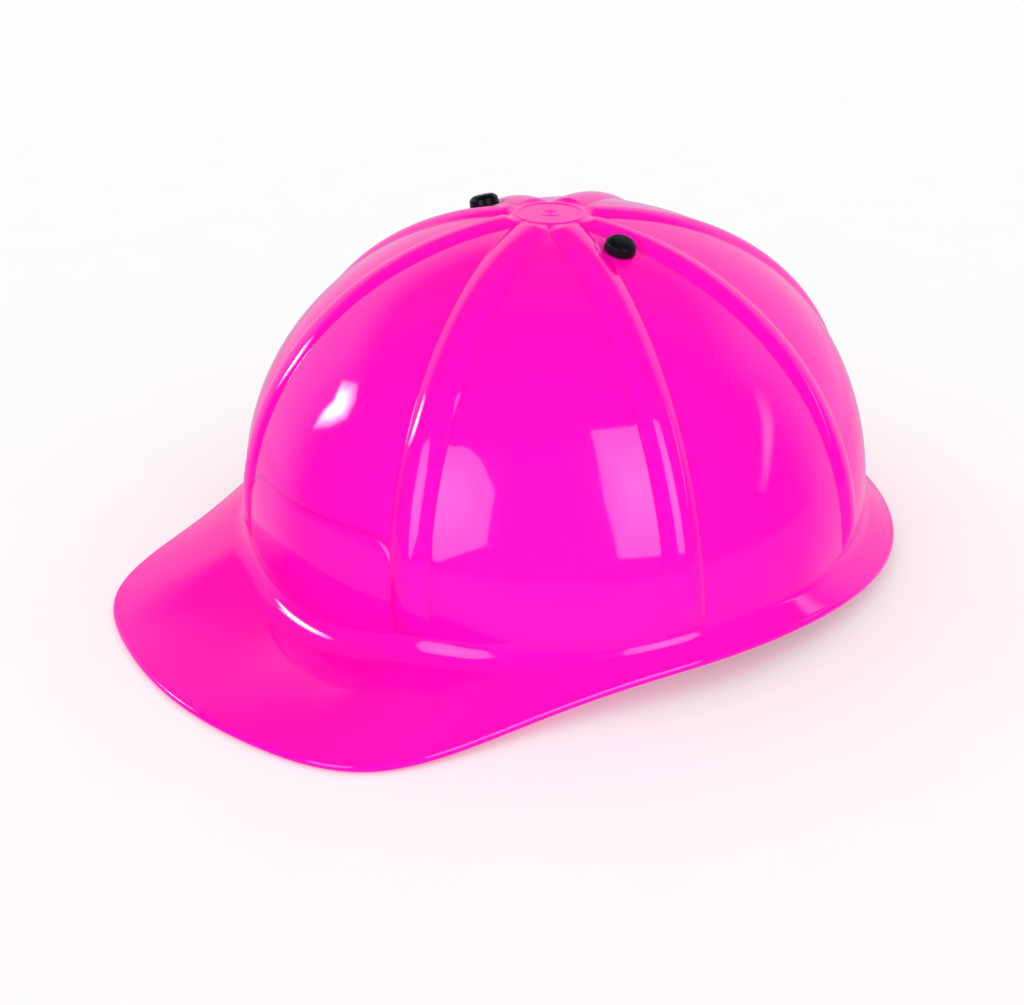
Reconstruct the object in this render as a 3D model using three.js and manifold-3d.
// Riding helmet: one-piece ribbed plastic shell with a peak, hung on a moulded
// cradle by two crown studs, with a rear-adjusted headband and a chin strap.
// Millimetres, +Z up, front towards -Y, wearer's left towards +X.
// The helmet rests on z = 0; the strap lies flat in a loop round towards the rear.
import * as THREE from 'three';
import { mergeVertices } from 'three/addons/utils/BufferGeometryUtils.js';
import Module from 'manifold-3d';

const { Vector2, Vector3, Matrix4 } = THREE;
const { degToRad, lerp, smoothstep } = THREE.MathUtils;

// ---------------------------------------------------------------- main dimensions
const WALL = 2.4;                 // moulded wall of the shell
const DOME_Y = 16.3;              // dome base centre in the part frame
const HOLE_CLEARANCE = 0.35;      // added to a shank's radius for its hole

const CROWN_STUD = { x: 30.93, y: -5.22, headRadius: 5.2, headHeight: 3.3, shankRadius: 2.3 };
const ARM = { width: 13, thickness: 1.8 };            // cradle arm section

// Headband oval: half length, half width, radius of the front and rear arcs, centre
const BAND_HALF_LENGTH = 95;
const BAND_HALF_WIDTH = 76;
const BAND_END_RADIUS = 66;
const BAND_Y = -4.5;
const BAND_T = 1.5;               // band thickness
const BAND_Z0 = 18;
const BAND_Z1 = 42;
const BAND_GAP = degToRad(24);    // the band stops this far either side of the rear
const REAR_Y = BAND_Y + BAND_HALF_LENGTH - BAND_END_RADIUS;   // centre of the rear arc

const STRAP_WIDTH = 14;           // chin webbing
const STRAP_T = 1.4;
const STRAP_Z = 9;
const STRAP_X = 81.5;
const PIVOT_Y = -15;

const SIDES = [['left', 1], ['right', -1]];

// ---------------------------------------------------------------- materials
const MATERIALS = {
  shellPink: { color: 0xff14c8, roughness: 0.18, metalness: 0 },
  studBlack: { color: 0x101014, roughness: 0.35, metalness: 0 },
  plasticBlack: { color: 0x101014, roughness: 0.4, metalness: 0 },
  webbingBlack: { color: 0x101014, roughness: 0.8, metalness: 0 },
  plasticWhite: { color: 0xe9e6e2, roughness: 0.5, metalness: 0 },
  padGrey: { color: 0x3a3b40, roughness: 0.9, metalness: 0 },
  metal: { color: 0xb9bbc0, roughness: 0.3, metalness: 1 },
};

// ---------------------------------------------------------------- solids
const wasm = await Module();
wasm.setup();

// Merges coincident points and drops the triangles that collapse.
function weld(geometry) {
  const bare = new THREE.BufferGeometry();
  bare.setAttribute('position', geometry.attributes.position);
  bare.setIndex(geometry.index);
  const merged = mergeVertices(bare, 1e-4);
  const corners = merged.index.array;
  const triangles = [];
  for (let i = 0; i < corners.length; i += 3) {
    const [a, b, c] = corners.slice(i, i + 3);
    if (a !== b && b !== c && a !== c) triangles.push(a, b, c);
  }
  return { positions: merged.attributes.position.array, triangles };
}

function toManifold(geometry) {
  const { positions, triangles } = weld(geometry);
  return new wasm.Manifold(new wasm.Mesh({
    numProp: 3,
    vertProperties: new Float32Array(positions),
    triVerts: new Uint32Array(triangles),
  }));
}

function toGeometry(solid) {
  const mesh = solid.getMesh();
  const geometry = new THREE.BufferGeometry();
  const positions = new Float32Array(mesh.vertProperties);
  geometry.setAttribute('position', new THREE.BufferAttribute(positions, 3));
  geometry.setIndex(new THREE.BufferAttribute(new Uint32Array(mesh.triVerts), 1));
  return geometry;
}

function combine(operation, body, others) {
  let solid = toManifold(body);
  for (const other of others) solid = solid[operation](toManifold(other));
  return toGeometry(solid);
}
const cut = (body, ...tools) => combine('subtract', body, tools);
const join = (body, ...others) => combine('add', body, others);
const placed = (geometry, matrix) => geometry.clone().applyMatrix4(matrix);

// Builds a geometry, turning the triangles over if they face inward.
function outward(positions, indices) {
  const corner = (i) => new Vector3().fromArray(positions, 3 * indices[i]);
  let volume = 0;
  for (let i = 0; i < indices.length; i += 3) {
    volume += corner(i).dot(corner(i + 1).cross(corner(i + 2)));
  }
  if (volume < 0) {
    for (let i = 0; i < indices.length; i += 3) {
      [indices[i + 1], indices[i + 2]] = [indices[i + 2], indices[i + 1]];
    }
  }
  const geometry = new THREE.BufferGeometry();
  geometry.setAttribute('position', new THREE.BufferAttribute(new Float32Array(positions), 3));
  geometry.setIndex(indices);
  return geometry;
}

// Triangles between neighbouring closed rings of points.
function ringTriangles(ringCount, ringSize) {
  const indices = [];
  for (let i = 0; i < ringCount - 1; i++) {
    for (let j = 0; j < ringSize; j++) {
      const a = i * ringSize + j;
      const b = i * ringSize + (j + 1) % ringSize;
      const c = a + ringSize;
      const d = b + ringSize;
      indices.push(a, b, d, a, d, c);
    }
  }
  return indices;
}

// Sweeps a closed 2D profile through stations; place(u, v, i) gives the 3D point.
function sweep(profile, stationCount, place) {
  const positions = [];
  for (let i = 0; i < stationCount; i++) {
    for (const [u, v] of profile) positions.push(...place(u, v, i));
  }
  const indices = ringTriangles(stationCount, profile.length);
  const outline = profile.map(([u, v]) => new Vector2(u, v));
  const clockwise = THREE.ShapeUtils.area(outline) < 0;
  const last = (stationCount - 1) * profile.length;
  for (const [a, second, third] of THREE.ShapeUtils.triangulateShape(outline, [])) {
    const [b, c] = clockwise ? [third, second] : [second, third];
    indices.push(a, c, b, last + a, last + b, last + c);
  }
  return outward(positions, indices);
}

// Skins closed rings of points, with a fan at each end.
function skin(rings) {
  const size = rings[0].length;
  const positions = rings.flat(2);
  const indices = ringTriangles(rings.length, size);
  for (const end of [0, rings.length - 1]) {
    const middle = [0, 0, 0];
    for (const point of rings[end]) {
      for (let k = 0; k < 3; k++) middle[k] += point[k] / size;
    }
    const hub = positions.length / 3;
    positions.push(...middle);
    for (let j = 0; j < size; j++) {
      const a = end * size + j;
      const b = end * size + (j + 1) % size;
      if (end === 0) indices.push(hub, b, a);
      else indices.push(hub, a, b);
    }
  }
  return outward(positions, indices);
}

// A cylinder along Z.
function rod(radius, z0, z1, segments) {
  const geometry = new THREE.CylinderGeometry(radius, radius, z1 - z0, segments);
  geometry.rotateX(Math.PI / 2);
  geometry.translate(0, 0, (z0 + z1) / 2);
  return geometry;
}

// Turns a profile of [radius, z] points about Z.
function lathe(profile, segments) {
  const turned = new THREE.LatheGeometry(profile.map(([r, z]) => new Vector2(r, z)), segments);
  turned.rotateX(Math.PI / 2);
  const { positions, triangles } = weld(turned);
  return outward(positions, triangles);
}

// A flat outline of [x, y] points extruded from z0 to z1.
function plate(outline, z0, z1) {
  const shape = new THREE.Shape(outline.map(([x, y]) => new Vector2(x, y)));
  const geometry = new THREE.ExtrudeGeometry(shape, { depth: z1 - z0, bevelEnabled: false });
  geometry.translate(0, 0, z0);
  return geometry;
}

// ---------------------------------------------------------------- outlines and frames
const rectangle = (x0, x1, y0, y1) => [[x0, y0], [x1, y0], [x1, y1], [x0, y1]];

function roundRect(width, height, radius, steps) {
  const x = width / 2 - radius;
  const y = height / 2 - radius;
  const points = [];
  for (const [cornerX, cornerY, start] of [[x, y, 0], [-x, y, 90], [-x, -y, 180], [x, -y, 270]]) {
    for (let i = 0; i <= steps; i++) {
      const angle = degToRad(start + 90 * i / steps);
      points.push([cornerX + radius * Math.cos(angle), cornerY + radius * Math.sin(angle)]);
    }
  }
  return points;
}

// Completes an outline from the half with y > 0.
const mirrored = (half) => [...half, ...half.map(([x, y]) => [x, -y]).reverse()];

// A frame whose +Z points along the normal.
function frameAt(position, normal, up = [0, 0, 1]) {
  const z = new Vector3(...normal).normalize();
  const x = new Vector3(...up).cross(z).normalize();
  const y = new Vector3().crossVectors(z, x);
  return new Matrix4().makeBasis(x, y, z).setPosition(...position);
}

// A frame whose +Z points along X, in the sense of side, and whose +Y points up.
function sideFrame(x, y, z, side) {
  return new Matrix4()
    .makeBasis(new Vector3(0, side, 0), new Vector3(0, 0, 1), new Vector3(side, 0, 0))
    .setPosition(x, y, z);
}

// A frame at the adjuster axis, a radius from the rear arc's centre; +Z points to the rear.
function rearFrame(radius) {
  return new Matrix4()
    .makeBasis(new Vector3(-1, 0, 0), new Vector3(0, 0, 1), new Vector3(0, 1, 0))
    .setPosition(0, REAR_Y + radius, ADJUSTER_Z);
}

// ---------------------------------------------------------------- dome
// phi is measured from the front towards +X; polar runs from 0 at the crown to
// PI / 2 at the base; inset moves the surface inward.
const DOME_HALF_WIDTH = 103.24;
const DOME_FRONT = 109.91;        // dome base, centre to front
const DOME_REAR = 112.49;         // dome base, centre to rear
const DOME_TOP = 115.89;          // top of the dome surface above the rest plane
const DOME_Z0 = 13.55;            // height where the dome wall stands upright
const CROWN_Y = -4.98;            // crown centre, forward of the base centre
const PLAN_FULLNESS = { front: 2.106, side: 1.942, rear: 2.066 };
const RISE_FULLNESS = { front: 2.222, side: 2.123, rear: 2.495 };

// The dome's axis leans forward with height.
const axisY = (z) => CROWN_Y * (z - DOME_Z0) / (DOME_TOP - DOME_Z0);

function domeRadius(phi, inset = 0) {
  const cos = Math.cos(phi);
  const lengthwise = (cos > 0 ? DOME_FRONT : DOME_REAR) - inset;
  const across = DOME_HALF_WIDTH - inset;
  return lengthwise * across / Math.hypot(across * cos, lengthwise * Math.sin(phi));
}

function fullness({ front, side, rear }, phi) {
  const cos = Math.cos(phi);
  return side * (1 - cos * cos) + (cos > 0 ? front : rear) * cos * cos;
}

function domePoint(phi, polar, inset = 0) {
  const height = DOME_TOP - inset - DOME_Z0;
  const z = DOME_Z0 + height * Math.pow(Math.cos(polar), 2 / fullness(RISE_FULLNESS, phi));
  const radius = Math.pow(Math.sin(polar), 2 / fullness(PLAN_FULLNESS, phi))
    * domeRadius(phi, inset);
  return { x: radius * Math.sin(phi), y: axisY(z) - radius * Math.cos(phi), z, radius };
}

function polarAtRadius(phi, radius, inset = 0) {
  const share = Math.min(1, radius / domeRadius(phi, inset));
  return Math.asin(Math.pow(share, fullness(PLAN_FULLNESS, phi) / 2));
}

function polarAtHeight(phi, z, inset = 0) {
  const share = Math.min(1, Math.max(0, (z - DOME_Z0) / (DOME_TOP - inset - DOME_Z0)));
  return Math.acos(Math.pow(share, fullness(RISE_FULLNESS, phi) / 2));
}

// Surface normal by small differences, kept clear of the crown and the base.
function domeNormal(phi, polar, inset = 0) {
  const step = 1e-3;
  const middle = Math.min(Math.PI / 2 - 2e-3, Math.max(2e-3, polar));
  const point = (dPhi, dPolar) => {
    const { x, y, z } = domePoint(phi + dPhi, middle + dPolar, inset);
    return new Vector3(x, y, z);
  };
  const around = point(step, 0).sub(point(-step, 0));
  const down = point(0, step).sub(point(0, -step));
  const normal = down.cross(around).normalize();
  const upAndOut = new Vector3(Math.sin(phi), -Math.cos(phi), 1);
  if (normal.z < -1e-6 || normal.dot(upAndOut) < 0) normal.negate();
  return normal;
}

// Height and normal of the dome over a plan position. The axis moves with height,
// so the height is found by iteration.
function domeOver(x, y, inset = 0) {
  let centreY = CROWN_Y;
  let phi, polar, z;
  for (let i = 0; i < 20; i++) {
    phi = Math.atan2(x, centreY - y);
    polar = polarAtRadius(phi, Math.hypot(x, y - centreY), inset);
    z = domePoint(phi, polar, inset).z;
    centreY = axisY(z);
  }
  return { z, normal: domeNormal(phi, polar, inset) };
}

// ---------------------------------------------------------------- brim
// Columns: degrees from the front, edge radius, height of the edge's underside
const BRIM_EDGE = [
  [0, 158.6, 0.0], [14, 157.7, 0.0], [26, 152.2, 0.0], [38, 131.3, 2.1], [52, 115.7, 5.9],
  [70, 110.6, 9.0], [90, 109.4, 7.9], [120, 115.6, 4.7], [150, 121.5, 1.4], [180, 126.0, 0.0],
];
// Columns: degrees from the front, height where the brim meets the wall
const BRIM_ROOT = [
  [0, 6.3], [8, 7.2], [14, 8.8], [21, 11.8], [30, 13.2], [45, 14.1],
  [60, 15.6], [75, 17.2], [92, 16.6], [120, 13.5], [150, 11.5], [180, 10.0],
];

// Periodic cubic spline through [degrees, value] points from 0 to 180, mirrored.
function mirroredSpline(half) {
  const reflected = half.slice(1, -1).map(([degrees, value]) => [-degrees, value]).reverse();
  const knots = [...reflected, ...half];
  const count = knots.length;
  const xs = knots.map(([degrees]) => degrees);
  const ys = knots.map(([, value]) => value);
  const spans = xs.map((x, i) => (i < count - 1 ? xs[i + 1] : xs[0] + 360) - x);
  // second derivatives by relaxation
  const bend = new Array(count).fill(0);
  for (let pass = 0; pass < 400; pass++) {
    for (let i = 0; i < count; i++) {
      const before = (i + count - 1) % count;
      const after = (i + 1) % count;
      const slopeChange = (ys[after] - ys[i]) / spans[i] - (ys[i] - ys[before]) / spans[before];
      bend[i] = (6 * slopeChange - spans[before] * bend[before] - spans[i] * bend[after])
        / (2 * (spans[before] + spans[i]));
    }
  }
  return (phi) => {
    let x = (phi * 180 / Math.PI) % 360;
    if (x > 180) x -= 360;
    if (x < xs[0]) x += 360;
    let i = count - 1;
    while (i > 0 && xs[i] > x) i--;
    const after = (i + 1) % count;
    const span = spans[i];
    const far = (x - xs[i]) / span;
    const near = 1 - far;
    const curve = (near ** 3 - near) * bend[i] + (far ** 3 - far) * bend[after];
    return near * ys[i] + far * ys[after] + curve * span * span / 6;
  };
}
const brimRadius = mirroredSpline(BRIM_EDGE.map(([degrees, radius]) => [degrees, radius]));
const brimSpline = mirroredSpline(BRIM_EDGE.map(([degrees, , z]) => [degrees, z]));
const rootZ = mirroredSpline(BRIM_ROOT);

// Heights close to the rest plane are laid flat on it.
function brimZ(phi) {
  const z = brimSpline(phi);
  return z < 0.25 ? 0 : z;
}

// The brim falls from the wall to its edge at an angle; a fillet joins the two.
function brimFillet(phi) {
  const reach = brimRadius(phi) - domeRadius(phi);
  const radius = Math.min(8, Math.max(4, 0.5 * reach));
  const slope = Math.atan2(rootZ(phi) - brimZ(phi) - WALL, reach);
  const z = rootZ(phi) + radius * Math.tan(Math.PI / 4 - slope / 2);
  const centreRadius = domePoint(phi, polarAtHeight(phi, z)).radius + radius;
  return { radius, slope, z, centreRadius };
}

// ---------------------------------------------------------------- ribs
const RIB_HALF_WIDTH = 7.0;
const RIB_HEIGHT = 2.4;
const RIB_ANGLES = [22.4, 67.4, 111.5, 156.0]          // degrees from the front, mirrored
  .flatMap((degrees) => [degToRad(degrees), -degToRad(degrees)])
  .sort((a, b) => a - b);
const CROWN_DISC_RADIUS = 11.4;   // flat disc the ribs run up to
const CROWN_DISC_RISE = 0.35;     // disc above the dome surface

function ribHeight(phi, radius, z) {
  const halfWidth = Math.min(RIB_HALF_WIDTH, 0.36 * radius);
  let share = 0;
  for (const rib of RIB_ANGLES) {
    const turn = ((phi - rib + 3 * Math.PI) % (2 * Math.PI)) - Math.PI;
    const away = Math.abs(turn) * radius;
    if (away < halfWidth) {
      share = Math.max(share, Math.cos(Math.PI * away / (2 * halfWidth)) ** 2);
    }
  }
  const crownFade = smoothstep(radius, CROWN_DISC_RADIUS, CROWN_DISC_RADIUS + 5);
  return RIB_HEIGHT * share * crownFade * smoothstep(z, 13, 27);
}

// Azimuths of the mesh columns: five on each rib and three between ribs.
function columns(radiusAt) {
  const angles = [];
  RIB_ANGLES.forEach((rib, k) => {
    const next = RIB_ANGLES[k + 1] ?? RIB_ANGLES[0] + 2 * Math.PI;
    const widest = 0.36 * (next - rib);
    const half = Math.min(RIB_HALF_WIDTH / radiusAt(rib), widest);
    const nextHalf = Math.min(RIB_HALF_WIDTH / radiusAt(next), widest);
    for (const share of [0, 0.5, 1]) angles.push(rib + share * half);
    for (const share of [0.25, 0.5, 0.75]) angles.push(lerp(rib + half, next - nextHalf, share));
    for (const share of [1, 0.5]) angles.push(next - share * nextHalf);
  });
  return angles;
}

// ---------------------------------------------------------------- shell
const OUTER_RINGS = 12;
const INNER_RINGS = 9;
const RING_SPACING = 0.92;        // exponent that spaces the rings down the dome
const CROWN_RINGS_END = 23;       // radius of the last closely spaced crown ring
// Brim edge, top to underside. Columns: outward from the edge, height above its underside
const BRIM_SECTION = [[-1.0, WALL], [0, WALL * 0.55], [-0.15, WALL * 0.25], [-0.7, 0], [-5.0, 0]];

function ribbedPoint(phi, polar) {
  const { x, y, z, radius } = domePoint(phi, polar);
  const normal = domeNormal(phi, polar);
  const rise = ribHeight(phi, radius, z);
  return [x + normal.x * rise, y + normal.y * rise, z + normal.z * rise];
}

// Outside of the shell from the crown disc down to the top of the brim fillet.
function outerRings() {
  const rings = [];
  for (const radius of [5.5, CROWN_DISC_RADIUS - 0.4]) {
    rings.push(columns(() => radius).map((phi) => {
      const { x, y } = domePoint(phi, polarAtRadius(phi, radius));
      return [x, y, DOME_TOP + CROWN_DISC_RISE];
    }));
  }
  for (const radius of [CROWN_DISC_RADIUS + 0.6, 14, 17, CROWN_RINGS_END]) {
    const ring = columns(() => radius);
    rings.push(ring.map((phi) => ribbedPoint(phi, polarAtRadius(phi, radius))));
  }
  for (let i = 1; i <= OUTER_RINGS; i++) {
    const polarAt = (phi) => {
      const end = polarAtHeight(phi, brimFillet(phi).z);
      const share = Math.pow(i / OUTER_RINGS, RING_SPACING);
      return lerp(polarAtRadius(phi, CROWN_RINGS_END), end, share);
    };
    rings.push(columns((phi) => domePoint(phi, polarAt(phi)).radius).map((phi) => {
      if (i < OUTER_RINGS) return ribbedPoint(phi, polarAt(phi));
      const { x, y, z } = domePoint(phi, polarAt(phi));
      return [x, y, z];
    }));
  }
  return rings;
}

// Inside of the shell from above the brim fillet up to the crown.
function innerRings(base) {
  const rings = [];
  for (let i = 1; i <= INNER_RINGS; i++) {
    const share = Math.pow(1 - i / INNER_RINGS, RING_SPACING);
    rings.push(base.map((phi) => {
      const start = polarAtHeight(phi, brimFillet(phi).z + 3, WALL);
      const { x, y, z } = domePoint(phi, lerp(polarAtRadius(phi, 8, WALL), start, share), WALL);
      return [x, y, z];
    }));
  }
  return rings;
}

function shellBody() {
  const base = columns((phi) => domeRadius(phi));
  const baseRing = (radiusAndZ) => base.map((phi) => {
    const [radius, z] = radiusAndZ(phi);
    return [radius * Math.sin(phi), -radius * Math.cos(phi), z];
  });
  // share 0 is the fillet's wall end, 1 its brim end; offset is the wall below it
  const filletRing = (offset, share) => baseRing((phi) => {
    const { radius, slope, z, centreRadius } = brimFillet(phi);
    const angle = share * (Math.PI / 2 - slope);
    const arm = radius + offset;
    return [centreRadius - arm * Math.cos(angle), z - arm * Math.sin(angle)];
  });
  const edgeRings = BRIM_SECTION.map(([out, up]) => baseRing((phi) => {
    // points further in climb with the slope of the brim where it is off the rest plane
    const climb = Math.max(0, -out - 0.7) * Math.tan(brimFillet(phi).slope);
    return [brimRadius(phi) + out, brimZ(phi) + up + climb * smoothstep(brimZ(phi), 0, 1.5)];
  }));
  const rings = [
    ...outerRings(),
    filletRing(0, 0.45), filletRing(0, 1),
    ...edgeRings,
    filletRing(WALL, 1), filletRing(WALL, 0.5), filletRing(WALL, 0),
    ...innerRings(base),
  ];
  return skin(rings.map((ring) => ring.map(([x, y, z]) => [x, y, Math.max(z, 0)])));
}

// ---------------------------------------------------------------- crown studs
const crownStudFrames = SIDES.map(([, side]) => {
  const x = side * CROWN_STUD.x;
  const { z, normal } = domeOver(x, CROWN_STUD.y);
  return frameAt([x, CROWN_STUD.y, z], normal, [0, 1, 0]);
});
const atCrownStuds = (tool) => crownStudFrames.map((frame) => placed(tool, frame));
const crownStudHoles = (z0, z1) =>
  atCrownStuds(rod(CROWN_STUD.shankRadius + HOLE_CLEARANCE, z0, z1, 20));

const shell = () => cut(shellBody(), ...crownStudHoles(-9, 6));

function crownStud() {
  const { headRadius, headHeight, shankRadius } = CROWN_STUD;
  return lathe([
    [0, headHeight + 0.5], [1.9, headHeight + 0.3], [3.5, headHeight - 0.5],
    [4.7, headHeight - 1.8], [headRadius, 1.2], [headRadius, 0.55],
    [shankRadius, 0.55], [shankRadius, -7.6], [shankRadius - 0.7, -8.6], [0, -8.6],
  ], 20);
}

function studWasher() {
  const bore = CROWN_STUD.shankRadius + HOLE_CLEARANCE;
  const profile = [[bore, -7.3], [6.0, -7.3], [6.0, -6.6], [5.2, -6.1], [bore, -6.1], [bore, -7.3]];
  return lathe(profile, 18);
}

// ---------------------------------------------------------------- headband oval
// Two end arcs and two flatter side arcs, meeting tangentially.
const END_TO_CENTRE = BAND_HALF_LENGTH - BAND_END_RADIUS;
const SIDE_RADIUS = (BAND_HALF_WIDTH ** 2 + END_TO_CENTRE ** 2 - BAND_END_RADIUS ** 2)
  / (2 * (BAND_HALF_WIDTH - BAND_END_RADIUS));
const SIDE_CENTRE_X = SIDE_RADIUS - BAND_HALF_WIDTH;
const END_HALF_ANGLE = Math.atan2(SIDE_CENTRE_X, END_TO_CENTRE);

// Point on the oval moved outward; angle is that of its normal, from the rear
// (+Y) towards +X.
function oval(angle, offset) {
  const fullTurn = 2 * Math.PI;
  const turn = ((angle + Math.PI) % fullTurn + fullTurn) % fullTurn - Math.PI;
  const normal = [Math.sin(turn), Math.cos(turn)];
  let centre = [-Math.sign(turn) * SIDE_CENTRE_X, BAND_Y];
  let radius = SIDE_RADIUS + offset;
  const atRear = Math.abs(turn) <= END_HALF_ANGLE;
  if (atRear || Math.abs(turn) >= Math.PI - END_HALF_ANGLE) {
    centre = [0, BAND_Y + (atRear ? END_TO_CENTRE : -END_TO_CENTRE)];
    radius = BAND_END_RADIUS + offset;
  }
  return { x: centre[0] + normal[0] * radius, y: centre[1] + normal[1] * radius, normal };
}

// A chamfered strip that follows the oval between two angles.
function ovalStrip({ from, to, stations, inner, outer, z0, z1, chamfer }) {
  const profile = [
    [inner + chamfer, z0], [outer - chamfer, z0], [outer, z0 + chamfer], [outer, z1 - chamfer],
    [outer - chamfer, z1], [inner + chamfer, z1], [inner, z1 - chamfer], [inner, z0 + chamfer],
  ];
  return sweep(profile, stations, (offset, z, i) => {
    const { x, y } = oval(lerp(from, to, i / (stations - 1)), offset);
    return [x, y, z];
  });
}

function ovalFrame(angle, z) {
  const { x, y, normal } = oval(angle, 0);
  return frameAt([x, y, z], [...normal, 0]);
}

// ---------------------------------------------------------------- band fasteners
// Push studs join the arms to the band; angles are from the rear.
const CLIP_Z = 35;
const CLIPS = [['front_left', 139], ['front_right', -139], ['rear_left', 61], ['rear_right', -61]]
  .map(([tag, degrees]) => ({ tag, angle: degToRad(degrees) }));
const BAND_SHANK_RADIUS = 1.55;
const RIVET_Z = 27;

// Oval angle, on the left, where the band passes the strap pivot.
const HANGER_ANGLE = (() => {
  let angle = Math.PI / 2;
  for (let i = 0; i < 60; i++) angle += (oval(angle, 0).y - PIVOT_Y) * 0.006;
  return angle;
})();

const bandHole = (angle, z) =>
  placed(rod(BAND_SHANK_RADIUS + HOLE_CLEARANCE, -5, 8, 14), ovalFrame(angle, z));
const clipHoles = () => CLIPS.map(({ angle }) => bandHole(angle, CLIP_Z));

// Head outside the arm, barb inside the band.
const bandStud = (angle) => placed(lathe([
  [0, 5.6], [2.6, 5.3], [3.6, 4.4], [3.6, 4.0], [BAND_SHANK_RADIUS, 4.0],
  [BAND_SHANK_RADIUS, -0.3], [2.5, -0.3], [1.7, -1.3], [0, -1.3],
], 14), ovalFrame(angle, CLIP_Z));

const hangerRivet = (side) => placed(lathe([
  [0, 6.4], [2.2, 6.1], [3.2, 5.3], [3.2, 4.9], [BAND_SHANK_RADIUS, 4.9],
  [BAND_SHANK_RADIUS, -0.3], [2.4, -0.3], [1.7, -1.2], [0, -1.2],
], 14), ovalFrame(side * HANGER_ANGLE, RIVET_Z));

// ---------------------------------------------------------------- headband and brow pad
function headband() {
  const band = ovalStrip({
    from: BAND_GAP, to: 2 * Math.PI - BAND_GAP, stations: 53,
    inner: 0, outer: BAND_T, z0: BAND_Z0, z1: BAND_Z1, chamfer: 0.35,
  });
  const rivetHoles = SIDES.map(([, side]) => bandHole(side * HANGER_ANGLE, RIVET_Z));
  return cut(band, ...clipHoles(), ...rivetHoles);
}

function browPad() {
  const pad = ovalStrip({
    from: degToRad(180 - 46), to: degToRad(180 + 46), stations: 17,
    inner: -4.6, outer: -0.35, z0: BAND_Z0 + 1.2, z1: BAND_Z1 - 1.2, chamfer: 0.9,
  });
  // pockets round the barbs of the two front studs
  const pockets = CLIPS.slice(0, 2)
    .map(({ angle }) => placed(rod(3.1, -1.75, 1, 14), ovalFrame(angle, CLIP_Z)));
  return cut(pad, ...pockets);
}

// ---------------------------------------------------------------- cradle
const ARM_DOME_STATIONS = 13;     // stations under the dome, before the two at the foot
const ARM_DROP = 0.4;             // arm path below its inset dome surface
const ARM_GAP = 0.4;              // between the band and the foot of an arm
const BAR_HALF_WIDTH = 9;
const BAR_OVERHANG = 9;           // bar beyond each stud
const BAR_STATIONS = 13;

// Centre line of an arm from just across the crown to its foot.
function armPath(foot) {
  const inset = WALL + 1.2 + ARM.thickness / 2;
  const bendZ = BAND_Z1 + 3;
  const phi = Math.atan2(foot.x, axisY(bendZ) - foot.y);
  const endPolar = polarAtHeight(phi, bendZ, inset);
  const endRadius = domePoint(phi, endPolar, inset).radius;
  const footScale = Math.hypot(foot.x, foot.y - axisY(bendZ)) / endRadius;
  const overrun = 0.05;           // start beyond the crown centre, as a share of the reach
  const path = [new Vector3(
    -overrun * foot.x,
    CROWN_Y - overrun * (foot.y - CROWN_Y),
    DOME_TOP - inset - ARM_DROP,
  )];
  for (let i = 1; i < ARM_DOME_STATIONS; i++) {
    const { z, radius } = domePoint(phi, endPolar * i / (ARM_DOME_STATIONS - 1), inset);
    const reach = radius * lerp(1, footScale, smoothstep(radius / endRadius, 0, 1));
    const y = axisY(z) - reach * Math.cos(phi);
    path.push(new Vector3(reach * Math.sin(phi), y, z - ARM_DROP));
  }
  for (const z of [BAND_Z1 - 3, CLIP_Z - 6]) path.push(new Vector3(foot.x, foot.y, z));
  return path;
}

// An arm leaves the crown and comes down outside the band.
function cradleArm(angle) {
  const foot = oval(angle, BAND_T + ARM_GAP + ARM.thickness / 2);
  const path = armPath(foot);
  const last = path.length - 1;
  const up = new Vector3(0, 0, 1);
  const crownSide = new Vector3(foot.x, foot.y - CROWN_Y, 0).normalize().cross(up);
  const bandSide = new Vector3(...foot.normal, 0).cross(up);
  const halfWidth = ARM.width / 2;
  const halfThickness = ARM.thickness / 2;
  const profile = rectangle(-halfWidth, halfWidth, -halfThickness, halfThickness);
  return sweep(profile, path.length, (u, v, i) => {
    const tangent = path[Math.min(last, i + 1)].clone().sub(path[Math.max(0, i - 1)]).normalize();
    // towards the foot the side turns to follow the band
    const side = crownSide.clone().lerp(bandSide, smoothstep(i / last, 0.45, 0.8)).normalize();
    side.addScaledVector(tangent, -side.dot(tangent)).normalize();
    const normal = new Vector3().crossVectors(side, tangent);
    return path[i].clone().addScaledVector(side, u).addScaledVector(normal, v).toArray();
  });
}

// The bar runs across the crown under both studs, following the inside of the dome.
function crownBar() {
  const half = CROWN_STUD.x + BAR_OVERHANG;
  const gap = 1.0;                // below the shell
  const crossCurve = 0.0016;      // the bar drops by this times u squared
  const profile = rectangle(-BAR_HALF_WIDTH, BAR_HALF_WIDTH, 0, -ARM.thickness);
  return sweep(profile, BAR_STATIONS, (u, v, i) => {
    const x = lerp(-half, half, i / (BAR_STATIONS - 1));
    const { z, normal } = domeOver(x, CROWN_STUD.y, WALL);
    const out = v - gap;
    return [x + normal.x * out, CROWN_STUD.y + u, z + normal.z * out - crossCurve * u * u];
  });
}

function cradle() {
  const body = join(crownBar(), ...CLIPS.map(({ angle }) => cradleArm(angle)));
  return cut(body, ...crownStudHoles(-12, 3), ...clipHoles());
}

// ---------------------------------------------------------------- crown pad
const CROWN_PAD = { halfWidth: 40, halfLength: 46, belowShell: 5.4, columns: 24 };
// Columns: scale of the oval, drop below the pad's top surface
const CROWN_PAD_RINGS = [
  [0.3, 0], [0.6, 0], [0.85, 0], [0.96, 0], [1, 3], [0.96, 5.6], [0.85, 7], [0.6, 7], [0.3, 7],
];

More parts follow.
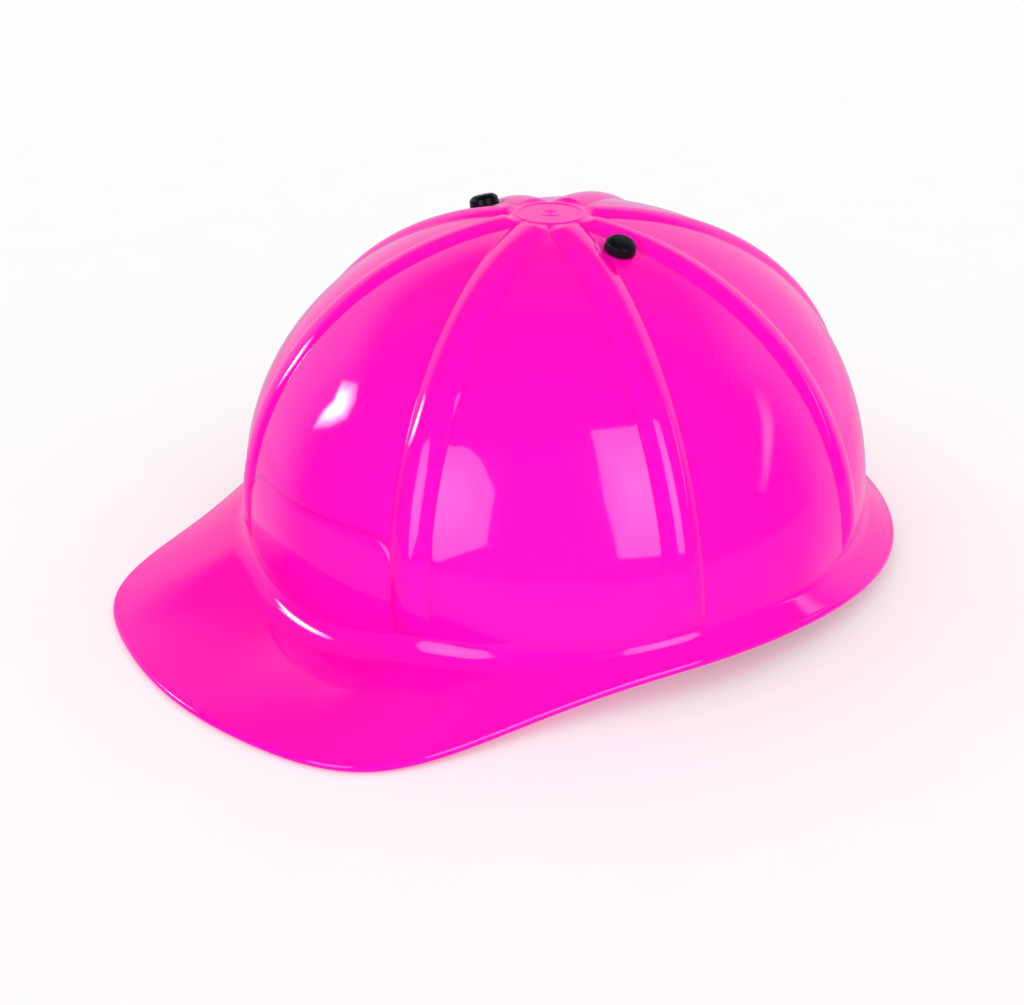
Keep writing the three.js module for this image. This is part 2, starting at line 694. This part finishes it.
// A soft oval under the cradle, with a pocket under each stud.
function crownPad() {
  const angles = Array.from({ length: CROWN_PAD.columns },
    (_, i) => 2 * Math.PI * i / CROWN_PAD.columns);
  const rings = CROWN_PAD_RINGS.map(([scale, drop]) => angles.map((phi) => {
    const x = scale * CROWN_PAD.halfWidth * Math.sin(phi);
    const y = CROWN_Y - scale * CROWN_PAD.halfLength * Math.cos(phi);
    return [x, y, domeOver(x, y, WALL).z - CROWN_PAD.belowShell - drop];
  }));
  return cut(skin(rings), ...atCrownStuds(rod(6.6, -9.6, -2, 20)));
}

// ---------------------------------------------------------------- adjuster
// Radii are measured from the centre of the headband's rear arc.
const ADJUSTER_Z = 29;            // adjuster axis height
const ADJUSTER_Z0 = ADJUSTER_Z - 11.2;
const ADJUSTER_Z1 = ADJUSTER_Z + 11.2;
const HOUSING_HALF_ANGLE = degToRad(21);
const PAD_HALF_ANGLE = degToRad(19);
const COVER = { inner: 67.8, ceiling: 71.0, outer: 73.2, rim: 1.4, boreRadius: 2.9 };
const PINION_RADIUS = 67.9;       // where the pinion's inner face lies
const KNOB_RADIUS = 73.6;         // where the knob's inner face lies
const SCREW_RADIUS = 78.5;        // origin of the knob screw
const PINION_TEETH = 10;
const MODULE = 0.9;
const PITCH_RADIUS = PINION_TEETH * MODULE / 2;
const TOOTH_PITCH = Math.PI * MODULE;
const DEDENDUM = 0.95;            // tooth root from the pitch line
const ADDENDUM = 0.5;             // tooth crest from the pitch line
const TAIL_T = 1.2;
const TAIL_HALF_HEIGHT = 8.1;
const TAIL_TRAVEL = 11.8;
const TAIL_RADIUS = { left: 67.9, right: 69.4 };       // inner face of each tail

// Point on the rear arc; angle is from the rear towards +X.
const rearPoint = (radius, angle, z) =>
  [radius * Math.sin(angle), REAR_Y + radius * Math.cos(angle), z];

// Sweeps a [radius, z] profile round the rear.
function rearStrip(profile, halfAngle) {
  const stations = 9;
  return sweep(profile, stations, (radius, z, i) =>
    rearPoint(radius, lerp(-halfAngle, halfAngle, i / (stations - 1)), z));
}

const adjusterBase = () =>
  rearStrip(rectangle(64.9, 67.5, ADJUSTER_Z0, ADJUSTER_Z1), HOUSING_HALF_ANGLE);

// A channel open towards the base, with a bore for the pinion shaft.
function adjusterCover() {
  const { inner, ceiling, outer, rim, boreRadius } = COVER;
  const channel = rearStrip([
    [inner, ADJUSTER_Z0], [outer, ADJUSTER_Z0], [outer, ADJUSTER_Z1], [inner, ADJUSTER_Z1],
    [inner, ADJUSTER_Z1 - rim], [ceiling, ADJUSTER_Z1 - rim],
    [ceiling, ADJUSTER_Z0 + rim], [inner, ADJUSTER_Z0 + rim],
  ], HOUSING_HALF_ANGLE);
  return cut(channel, placed(rod(boreRadius, 1.5, 9, 20), rearFrame(68)));
}

function napePad() {
  const z0 = ADJUSTER_Z0 + 1.2;
  const z1 = ADJUSTER_Z1 - 1.2;
  return rearStrip([
    [61.0, z0 + 1], [61.9, z0], [64.6, z0], [64.6, z1], [61.9, z1], [61.0, z1 - 1],
  ], PAD_HALF_ANGLE);
}

function adjusterPinion() {
  const outline = [];
  for (let k = 0; k < PINION_TEETH; k++) {
    // a tooth centre points straight up and straight down
    const centre = Math.PI / 2 + 2 * Math.PI * k / PINION_TEETH;
    for (const [along, out] of [[-0.86, -DEDENDUM], [-0.3, ADDENDUM], [0.3, ADDENDUM],
      [0.86, -DEDENDUM]]) {
      const angle = centre + along / PITCH_RADIUS;
      const radius = PITCH_RADIUS + out;
      outline.push([radius * Math.cos(angle), radius * Math.sin(angle)]);
    }
  }
  const pinion = join(plate(outline, 0, 2.65), rod(2.5, 0.2, 10.4, 20));
  const screwHole = rod(1.2, 3.4, 13, 14);
  return placed(cut(pinion, screwHole), rearFrame(PINION_RADIUS));
}

// A fluted disc with a bore and a recess for the screw head.
function adjusterKnob() {
  const flutes = 16;
  const fluteRadii = [10.7, 11.25, 11.5, 11.25];       // one flute, valley to valley
  const outline = Array.from({ length: flutes * 4 }, (_, i) => {
    const angle = 2 * Math.PI * i / (flutes * 4);
    const radius = fluteRadii[i % 4];
    return [radius * Math.cos(angle), radius * Math.sin(angle)];
  });
  const knob = cut(plate(outline, 0, 6.6), rod(2.8, -1, 8, 20), rod(4.6, 5.0, 9, 20));
  return placed(knob, rearFrame(KNOB_RADIUS));
}

const knobScrew = () => placed(lathe([
  [0, 2.0], [2.6, 1.8], [3.9, 1.2], [3.9, 0.3], [0.9, 0.3], [0.9, -5.5], [0, -5.5],
], 16), rearFrame(SCREW_RADIUS));

// Each tail is a strap with a slot round the pinion; one edge of the slot is a rack,
// below the pinion on the left tail and above it on the right.
function adjustTail(tag, side) {
  const inner = TAIL_RADIUS[tag];
  const middle = inner + TAIL_T / 2;
  const rackSense = -side;
  const root = PITCH_RADIUS + DEDENDUM;
  const crest = PITCH_RADIUS - ADDENDUM;
  const tipEnd = -9.0;
  const slotStart = -6.0;
  const slotEnd = TAIL_TRAVEL + 6.0;
  const bodyStart = slotEnd + 2;
  // rack edge: distance from the pinion axis along the tail, height of the slot edge
  const rackEdge = [[tipEnd, root], [slotStart, root]];
  const firstTooth = Math.ceil((slotStart + 1.2) / TOOTH_PITCH - 0.5);
  for (let k = firstTooth; (k + 0.5) * TOOTH_PITCH < slotEnd - 1.2; k++) {
    const centre = (k + 0.5) * TOOTH_PITCH;
    rackEdge.push([centre - 0.88, root], [centre - 0.28, crest]);
    rackEdge.push([centre + 0.28, crest], [centre + 0.88, root]);
  }
  rackEdge.push([slotEnd, root], [bodyStart, root]);
  // stations are [distance along the tail, low edge, high edge]
  const section = rectangle(inner, inner + TAIL_T, 0, 1);
  const strip = (stations) => sweep(section, stations.length, (radius, isHigh, i) => {
    const [distance, low, high] = stations[i];
    return rearPoint(radius, side * distance / middle,
      ADJUSTER_Z + rackSense * (isHigh ? high : low));
  });
  const full = (distance) => [distance, -TAIL_HALF_HEIGHT, TAIL_HALF_HEIGHT];
  const rack = strip(rackEdge.map(([distance, z]) => [distance, z, TAIL_HALF_HEIGHT]));
  const rail = strip(
    rackEdge.map(([distance]) => [distance, -TAIL_HALF_HEIGHT, -PITCH_RADIUS - 1.1]));
  const tip = strip([full(tipEnd), full(slotStart)]);
  const body = strip([
    ...[slotEnd, bodyStart, 25, 32, 39, 46, 52.5].map(full),
    [55.5, -TAIL_HALF_HEIGHT + 2.4, TAIL_HALF_HEIGHT - 2.4],
  ]);
  return join(rack, rail, tip, body);
}

// ---------------------------------------------------------------- strap hangers
const HANGER = { width: 16, height: 34, corner: 5, middleZ: 20, thickness: 2.0 };
const HANGER_X = oval(HANGER_ANGLE, BAND_T + 0.35).x + 0.55;   // inner face of the plate

function strapHanger(side) {
  const { width, height, corner, middleZ, thickness } = HANGER;
  const outline = roundRect(width, height, corner, 3).map(([y, z]) => [y, z + middleZ]);
  return cut(
    placed(plate(outline, 0, thickness), sideFrame(side * HANGER_X, PIVOT_Y, 0, side)),
    placed(rod(2.25, -3, 5, 16), sideFrame(side * HANGER_X, PIVOT_Y, STRAP_Z, side)),
    bandHole(side * HANGER_ANGLE, RIVET_Z),
  );
}

// Inner head, shank through plate and webbing, outer head.
function strapPivot(side) {
  const shank = 1.95;
  const headZ = STRAP_X + STRAP_T / 2 - HANGER_X + 0.4;
  return placed(lathe([
    [0, -1.9], [3.4, -1.9], [4.0, -1.2], [4.0, -0.4], [shank, -0.4], [shank, headZ],
    [4.2, headZ], [4.2, headZ + 0.5], [2.8, headZ + 1.6], [0, headZ + 1.9],
  ], 18), sideFrame(side * HANGER_X, PIVOT_Y, STRAP_Z, side));
}

// ---------------------------------------------------------------- chin strap
// Corners of the open loop, [x, y], from the left pivot round the rear to the right:
// legs, diagonals and the chin run between them.
const CHIN_Y = 97;
const STRAP_CORNERS = [
  [STRAP_X, PIVOT_Y - 7], [STRAP_X, 30], [36, CHIN_Y],
  [-36, CHIN_Y], [-STRAP_X, 30], [-STRAP_X, PIVOT_Y - 7],
];
const STRAP_BEND_RADIUS = 26;
const BEND_STEPS = 6;

function roundedPath(corners, radius, steps) {
  const points = [corners[0]];
  for (let i = 1; i < corners.length - 1; i++) {
    const corner = new Vector2(...corners[i]);
    const back = new Vector2(...corners[i - 1]).sub(corner).normalize();
    const ahead = new Vector2(...corners[i + 1]).sub(corner).normalize();
    const half = Math.acos(Math.max(-1, Math.min(1, back.dot(ahead)))) / 2;
    const inwards = back.clone().add(ahead).normalize();
    const centre = corner.clone().addScaledVector(inwards, radius / Math.sin(half));
    const [start, end] = [back, ahead].map((direction) => {
      const touch = corner.clone().addScaledVector(direction, radius / Math.tan(half));
      return Math.atan2(touch.y - centre.y, touch.x - centre.x);
    });
    let turn = end - start;
    while (turn > Math.PI) turn -= 2 * Math.PI;
    while (turn < -Math.PI) turn += 2 * Math.PI;
    for (let k = 0; k <= steps; k++) {
      const angle = start + turn * k / steps;
      points.push([centre.x + radius * Math.cos(angle), centre.y + radius * Math.sin(angle)]);
    }
  }
  points.push(corners[corners.length - 1]);
  return points;
}

const strapPath = roundedPath(STRAP_CORNERS, STRAP_BEND_RADIUS, BEND_STEPS);
// Distance along the strap to each point of its path.
const strapLengths = [0];
for (let i = 1; i < strapPath.length; i++) {
  const [[x0, y0], [x1, y1]] = [strapPath[i - 1], strapPath[i]];
  strapLengths.push(strapLengths[i - 1] + Math.hypot(x1 - x0, y1 - y0));
}
const STRAP_LENGTH = strapLengths[strapLengths.length - 1];

function strapPoint(distance) {
  let i = 1;
  while (i < strapLengths.length - 1 && strapLengths[i] < distance) i++;
  const share = (distance - strapLengths[i - 1]) / (strapLengths[i] - strapLengths[i - 1]);
  const [before, after] = [strapPath[i - 1], strapPath[i]];
  return [lerp(before[0], after[0], share), lerp(before[1], after[1], share)];
}

function webbing(start, end) {
  const inside = strapLengths.filter((length) => length > start + 0.5 && length < end - 0.5);
  const stations = [start, ...inside, end];
  const profile = rectangle(-STRAP_T / 2, STRAP_T / 2, -STRAP_WIDTH / 2, STRAP_WIDTH / 2);
  return sweep(profile, stations.length, (u, v, i) => {
    const [x, y] = strapPoint(stations[i]);
    const before = strapPoint(Math.max(0, stations[i] - 0.4));
    const after = strapPoint(Math.min(STRAP_LENGTH, stations[i] + 0.4));
    const tangent = new Vector2(after[0] - before[0], after[1] - before[1]).normalize();
    return [x - u * tangent.y, y + u * tangent.x, STRAP_Z + v];
  });
}

const strapEye = (side) =>
  placed(rod(2.3, -4, 4, 18), sideFrame(side * STRAP_X, PIVOT_Y, STRAP_Z, side));

// ---------------------------------------------------------------- buckle
// The buckle sits on the straight left diagonal.
const DIAGONAL = BEND_STEPS + 1;  // index of the path point where the diagonal starts
const DIAGONAL_START = strapLengths[DIAGONAL];
const SOCKET_LENGTH = 24;
const PLUG_LENGTH = 15;
const PLUG_X = SOCKET_LENGTH + 0.4;      // inner end of the plug's collar
const BUCKLE_TRAVEL = 12;
const BUCKLE_BAR_HALF = 7.3;             // half width of the webbing slots

// +X along the strap towards the chin run, +Y up, +Z towards the outside of the loop.
const buckleFrame = (() => {
  const [[x0, y0], [x1, y1]] = [strapPath[DIAGONAL], strapPath[DIAGONAL + 1]];
  const x = new Vector3(x1 - x0, y1 - y0, 0).normalize();
  const y = new Vector3(0, 0, 1);
  const z = new Vector3().crossVectors(x, y);
  const origin = strapPoint(DIAGONAL_START + 1);
  return new Matrix4().makeBasis(x, y, z).setPosition(...origin, STRAP_Z);
})();

const webbingSlot = (x0, x1) =>
  plate(rectangle(x0, x1, -BUCKLE_BAR_HALF, BUCKLE_BAR_HALF), -9, 9);

// The mouth is as wide as the prongs spread, so the plug slides out without the
// prongs bending.
function buckleSocket() {
  const body = plate(mirrored([
    [0, 7.6], [0.8, 8.6], [7, 8.6], [10.5, 8.0], [SOCKET_LENGTH, 8.2],
  ]), -3.4, 3.4);
  const cavity = plate(mirrored([[9, 6.0], [12, 6.9], [SOCKET_LENGTH + 1, 6.9]]), -1.7, 1.7);
  const windows = plate(rectangle(12, 18, -9, 9), -1.7, 1.7);
  return placed(cut(body, cavity, windows, webbingSlot(2.4, 6)), buckleFrame);
}

function bucklePlug() {
  const end = PLUG_X + PLUG_LENGTH;
  const collarHalf = [
    [end, 7.6], [end - 0.8, 8.6], [PLUG_X + 7, 8.6], [PLUG_X + 4, 8.0], [PLUG_X, 8.2],
  ];
  // one hooked outer prong, then half of the straight middle prong
  const prongHalf = [
    [PLUG_X, 5.4], [18.2, 5.4], [17.4, 6.6], [12.8, 6.2], [11.6, 4.6], [12.4, 3.4],
    [PLUG_X - 1, 3.0], [PLUG_X - 1, 1.3], [11.5, 1.3],
  ];
  const blade = plate(mirrored([...collarHalf, ...prongHalf]), -1.35, 1.35);
  const collar = plate(mirrored(collarHalf), -2.6, 2.6);
  const slot = webbingSlot(PLUG_X + 8.8, PLUG_X + 12.4);
  return placed(cut(join(blade, collar), slot), buckleFrame);
}

// ---------------------------------------------------------------- straps, slider, chin pad
const strapLeft = () => cut(webbing(0, DIAGONAL_START - 0.4), strapEye(1));

function strapRight() {
  const start = DIAGONAL_START + SOCKET_LENGTH + PLUG_LENGTH + BUCKLE_TRAVEL + 2.0;
  return cut(webbing(start, STRAP_LENGTH), strapEye(-1));
}

// A flat loop round the right leg of the strap.
function strapSlider() {
  const body = plate(roundRect(9, 16.8, 1.5, 2), -2.4, 2.4);
  const opening = plate(rectangle(-9, 9, -7.35, 7.35), -1.05, 1.05);
  return placed(cut(body, opening), sideFrame(-STRAP_X, 4, STRAP_Z, 1));
}

// A pad on the inner face of the chin run.
function chinPad() {
  const frame = new Matrix4()
    .makeBasis(new Vector3(1, 0, 0), new Vector3(0, 0, 1), new Vector3(0, -1, 0))
    .setPosition(0, CHIN_Y - STRAP_T / 2 - 0.35, STRAP_Z);
  return placed(plate(roundRect(44, 15, 4, 3), 0, 3.4), frame);
}

// ---------------------------------------------------------------- assembly
const helmet = new THREE.Group();
helmet.name = 'riding_helmet';
helmet.position.set(0, DOME_Y, 0);

function add(name, material, geometry) {
  geometry.computeVertexNormals();
  const mesh = new THREE.Mesh(geometry, new THREE.MeshStandardMaterial(MATERIALS[material]));
  mesh.name = name;
  helmet.add(mesh);
}

add('shell', 'shellPink', shell());
SIDES.forEach(([tag], i) => {
  add(`crown_stud_${tag}`, 'studBlack', placed(crownStud(), crownStudFrames[i]));
  add(`stud_washer_${tag}`, 'plasticWhite', placed(studWasher(), crownStudFrames[i]));
});
add('cradle', 'plasticWhite', cradle());
add('crown_pad', 'padGrey', crownPad());

add('headband', 'plasticWhite', headband());
for (const { tag, angle } of CLIPS) add(`band_stud_${tag}`, 'plasticWhite', bandStud(angle));
add('brow_pad', 'padGrey', browPad());

add('adjuster_base', 'plasticWhite', adjusterBase());
add('adjuster_cover', 'plasticWhite', adjusterCover());
add('adjuster_pinion', 'plasticBlack', adjusterPinion());
add('adjuster_knob', 'plasticBlack', adjusterKnob());
add('knob_screw', 'metal', knobScrew());
for (const [tag, side] of SIDES) add(`adjust_tail_${tag}`, 'plasticBlack', adjustTail(tag, side));
add('nape_pad', 'padGrey', napePad());

for (const [tag, side] of SIDES) {
  add(`strap_hanger_${tag}`, 'plasticWhite', strapHanger(side));
  add(`hanger_rivet_${tag}`, 'plasticWhite', hangerRivet(side));
  add(`strap_pivot_${tag}`, 'metal', strapPivot(side));
}
add('strap_left', 'webbingBlack', strapLeft());
add('strap_right', 'webbingBlack', strapRight());
add('buckle_socket', 'plasticBlack', buckleSocket());
add('buckle_plug', 'plasticBlack', bucklePlug());
add('strap_slider', 'plasticBlack', strapSlider());
add('chin_pad', 'padGrey', chinPad());

export default helmet;
